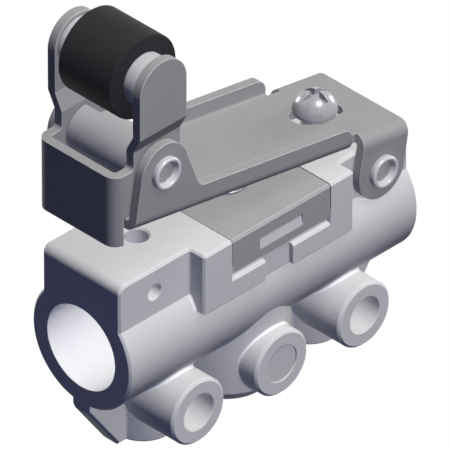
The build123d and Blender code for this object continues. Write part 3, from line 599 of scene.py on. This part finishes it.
def to_axis_z(x, y):
    return lambda ball: Vector((x - ball.x, y - ball.y, 0.0))


def to_face(*way):
    """The way from a ball's centre to a flat face."""
    return lambda ball: Vector(way)


to_barrel = to_axis_x(*BARREL_AXIS)


def round_path(arc, steps, place):
    """Ball centres along an arc. The place takes an angle's cosine and sine."""
    start, end = arc
    turns = (math.radians(start + (end - start) * step / steps) for step in range(steps + 1))
    return [place(math.cos(turn), math.sin(turn)) for turn in turns]


def beside_barrel(x, z):
    """The front place where a ball at this height touches the barrel."""
    reach = BARREL_R + SEAM_R
    return Vector((x, -math.sqrt(reach * reach - (BARREL_HEIGHT - z) ** 2), z))


def under_barrel(x, y):
    """The place where a ball touches the barrel from below."""
    reach = BARREL_R + SEAM_R
    return Vector((x, y, BARREL_HEIGHT - math.sqrt(reach * reach - y * y)))


def side_boss_seams():
    """Over the two side bosses with open ports, where they leave the barrel."""
    reach = SIDE_BOSS_R + SEAM_R
    for x in (-PORT_PITCH, PORT_PITCH):
        path = round_path(
            SIDE_BOSS_ARC, 40, lambda c, s: beside_barrel(x + reach * c, SIDE_PORT_HEIGHT + reach * s)
        )
        yield path, to_axis_y(x, SIDE_PORT_HEIGHT), to_barrel


def outlet_foot_seams():
    """Round the plugged side boss on the outlet's foot, and round that foot under the barrel."""
    boss = SIDE_BOSS_R + SEAM_R
    foot = OUTLET_FOOT_R + SEAM_R
    to_foot = to_axis_z(0.0, 0.0)

    def beside_foot(c, s):
        x = boss * c
        return Vector((x, -math.sqrt(foot * foot - x * x), SIDE_PORT_HEIGHT + boss * s))

    yield round_path(PLUG_BOSS_ARC, 72, beside_foot), to_axis_y(0.0, SIDE_PORT_HEIGHT), to_foot
    for arc in OUTLET_FOOT_ARCS:
        path = round_path(arc, 64, lambda c, s: under_barrel(foot * c, foot * s))
        yield path, to_foot, to_barrel


def outer_foot_seams():
    """Behind the two outer feet, under the barrel."""
    reach = SIDE_BOSS_R + SEAM_R
    for x in (-PORT_PITCH, PORT_PITCH):
        path = round_path(OUTER_FOOT_ARC, 40, lambda c, s: under_barrel(x + reach * c, reach * s))
        yield path, to_axis_z(x, 0.0), to_barrel


def shoulder_seams():
    """Where the four ends of the shoulders stand on the barrel."""
    reach = BARREL_R + SEAM_R
    low = math.degrees(math.asin((SHOULDER_BOTTOM - BARREL_HEIGHT) / BARREL_R))
    high = math.degrees(math.acos(SHOULDER_SEAM_TOP / reach))
    for end in (-1, 1):
        x = end * (SHOULDER_END + SEAM_R)
        for side in (-1, 1):
            path = round_path(
                (low, high), 10, lambda c, s: Vector((x, side * reach * c, BARREL_HEIGHT + reach * s))
            )
            yield path, to_face(-end, 0.0, 0.0), to_barrel


def web_seams():
    """Along both sides of the web between and beyond the feet, under the barrel."""
    for start, end in WEB_SPANS:
        for side in (-1, 1):
            y = side * (WEB_SIDE + SEAM_R)
            path = [under_barrel(start, y), under_barrel(end, y)]
            yield path, to_face(0.0, -side, 0.0), to_barrel


def seam_strip(form, path, first, second):
    """One concave strip with closed ends, its hidden side sunk into the corner."""
    rings = []
    for ball in path:
        one, two = first(ball).normalized(), second(ball).normalized()
        ring = []
        for step in range(SEAM_STEPS + 1):
            reach = SEAM_R + (SUNK if step in (0, SEAM_STEPS) else 0.0)
            ring.append(ball + one.slerp(two, step / SEAM_STEPS) * reach)
        ring.append(ball + (one + two) * (SEAM_R / (1.0 + one.dot(two)) * PAST_CORNER))
        rings.append([form.verts.new(point * MM) for point in ring])
    for near, far in zip(rings, rings[1:]):
        for index in range(len(near)):
            after = (index + 1) % len(near)
            form.faces.new((near[index], near[after], far[after], far[index]))
    form.faces.new(rings[0])
    form.faces.new(rings[-1])


def seam_piece(name, strips, material):
    """A piece of the casting made of seam strips."""
    form = bmesh.new()
    for path, first, second in strips:
        seam_strip(form, path, first, second)
    bmesh.ops.recalc_face_normals(form, faces=form.faces)
    mesh = bpy.data.meshes.new(name)
    form.to_mesh(mesh)
    form.free()
    mesh.shade_smooth()
    mesh.set_sharp_from_angle(angle=math.radians(SHARP_ANGLE))
    mesh.materials.append(material)
    piece = bpy.data.objects.new(name, mesh)
    bpy.context.scene.collection.objects.link(piece)
    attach(piece, "valve_body")


def casting_seams():
    # The seams take a material painted light as a highlight.
    bright = fillets_painted_bright()
    seam_piece("side_boss_seams", side_boss_seams(), bright)
    seam_piece("outlet_foot_seams", outlet_foot_seams(), bright)
    seam_piece("outer_foot_seams", outer_foot_seams(), bright)
    seam_piece("shoulder_seams", shoulder_seams(), bright)
    seam_piece("web_seams", web_seams(), bright)


def direction(azimuth, elevation):
    """From the valve towards a viewer: azimuth 0 looks along +Y, 90 along -X."""
    a, e = math.radians(azimuth), math.radians(elevation)
    return Vector((math.sin(a) * math.cos(e), -math.cos(a) * math.cos(e), math.sin(e)))


def place_facing(name, data, back, distance):
    """Puts a lamp or camera that far back from the middle of the valve, looking at it."""
    holder = bpy.data.objects.new(name, data)
    bpy.context.scene.collection.objects.link(holder)
    holder.location = Vector(VIEW_AIM) * MM + back * (distance * MM)
    holder.rotation_mode = "QUATERNION"
    holder.rotation_quaternion = back.to_track_quat("Z", "Y")
    return holder


def area_lamp(name, azimuth, elevation, *, distance, size, watts, shadow=True, colour=WHITE):
    """A soft round lamp that faces the middle of the valve."""
    lamp = bpy.data.lights.new(name, "AREA")
    lamp.shape = "DISK"
    lamp.size = size * MM
    lamp.energy = watts
    lamp.color = colour
    lamp.use_shadow = shadow
    place_facing(name, lamp, direction(azimuth, elevation), distance)


def lamps():
    """A high lamp in front with its fill, and low ones at the front left, the right and the back."""
    area_lamp("key_lamp", 0, 62, distance=600, size=400, watts=0.85)
    area_lamp("front_fill", 0, 62, distance=600, size=50, watts=3.36, shadow=False)
    area_lamp("cool_fill", 322, 6, distance=700, size=300, watts=0.48, shadow=False, colour=COOL)
    area_lamp("right_lamp", 90, 5, distance=700, size=200, watts=1.8)
    area_lamp("back_lamp", 180, 5, distance=700, size=100, watts=2.4)


def camera():
    eye = bpy.data.cameras.new("photo_view")
    eye.lens = LENS
    eye.sensor_width = SENSOR
    eye.clip_start, eye.clip_end = (limit * MM for limit in VIEW_LIMITS)
    back = direction(VIEW_AZIMUTH, VIEW_ELEVATION)
    bpy.context.scene.camera = place_facing("photo_view", eye, back, VIEW_DISTANCE)


def floor():
    """A plane just below the feet: almost white to the camera, though it throws little light back."""
    half, top = FLOOR_HALF * MM, FLOOR_LEVEL * MM
    mesh = bpy.data.meshes.new("floor")
    corners = [(-half, -half, top), (half, -half, top), (half, half, top), (-half, half, top)]
    mesh.from_pydata(corners, [], [(0, 1, 2, 3)])
    plate = bpy.data.objects.new("floor", mesh)
    bpy.context.scene.collection.objects.link(plate)
    finish = Finish("pale_floor")
    paint = finish.node("BsdfDiffuse", {}, {"Color": (*FLOOR_GREY, 1.0)})
    glow = finish.node("Emission", {}, {"Strength": finish.seen_directly() * FLOOR_GLOW})
    both = finish.node("AddShader", {}, {0: paint, 1: glow})
    finish.node("OutputMaterial", {}, {"Surface": both})
    mesh.materials.append(finish.material)


def world():
    """White to the camera, and a faint cool light on the valve."""
    sky = bpy.data.worlds.new("studio")
    bpy.context.scene.world = sky
    sky.use_nodes = True
    studio = Craft(sky.node_tree)
    dim = studio.node("Background", {}, {"Color": (*COOL, 1.0), "Strength": SKY_LIGHT})
    white = studio.node("Background", {}, {"Color": (*WHITE, 1.0), "Strength": 1.0})
    both = studio.node("MixShader", {}, {0: studio.seen_directly(), 1: dim, 2: white})
    studio.node("OutputWorld", {}, {"Surface": both})


finishes()
working_spring("plunger_slide")
working_spring("spool_shift")
casting_seams()
floor()
world()
lamps()
camera()
bpy.context.scene.view_settings.view_transform = "Standard"
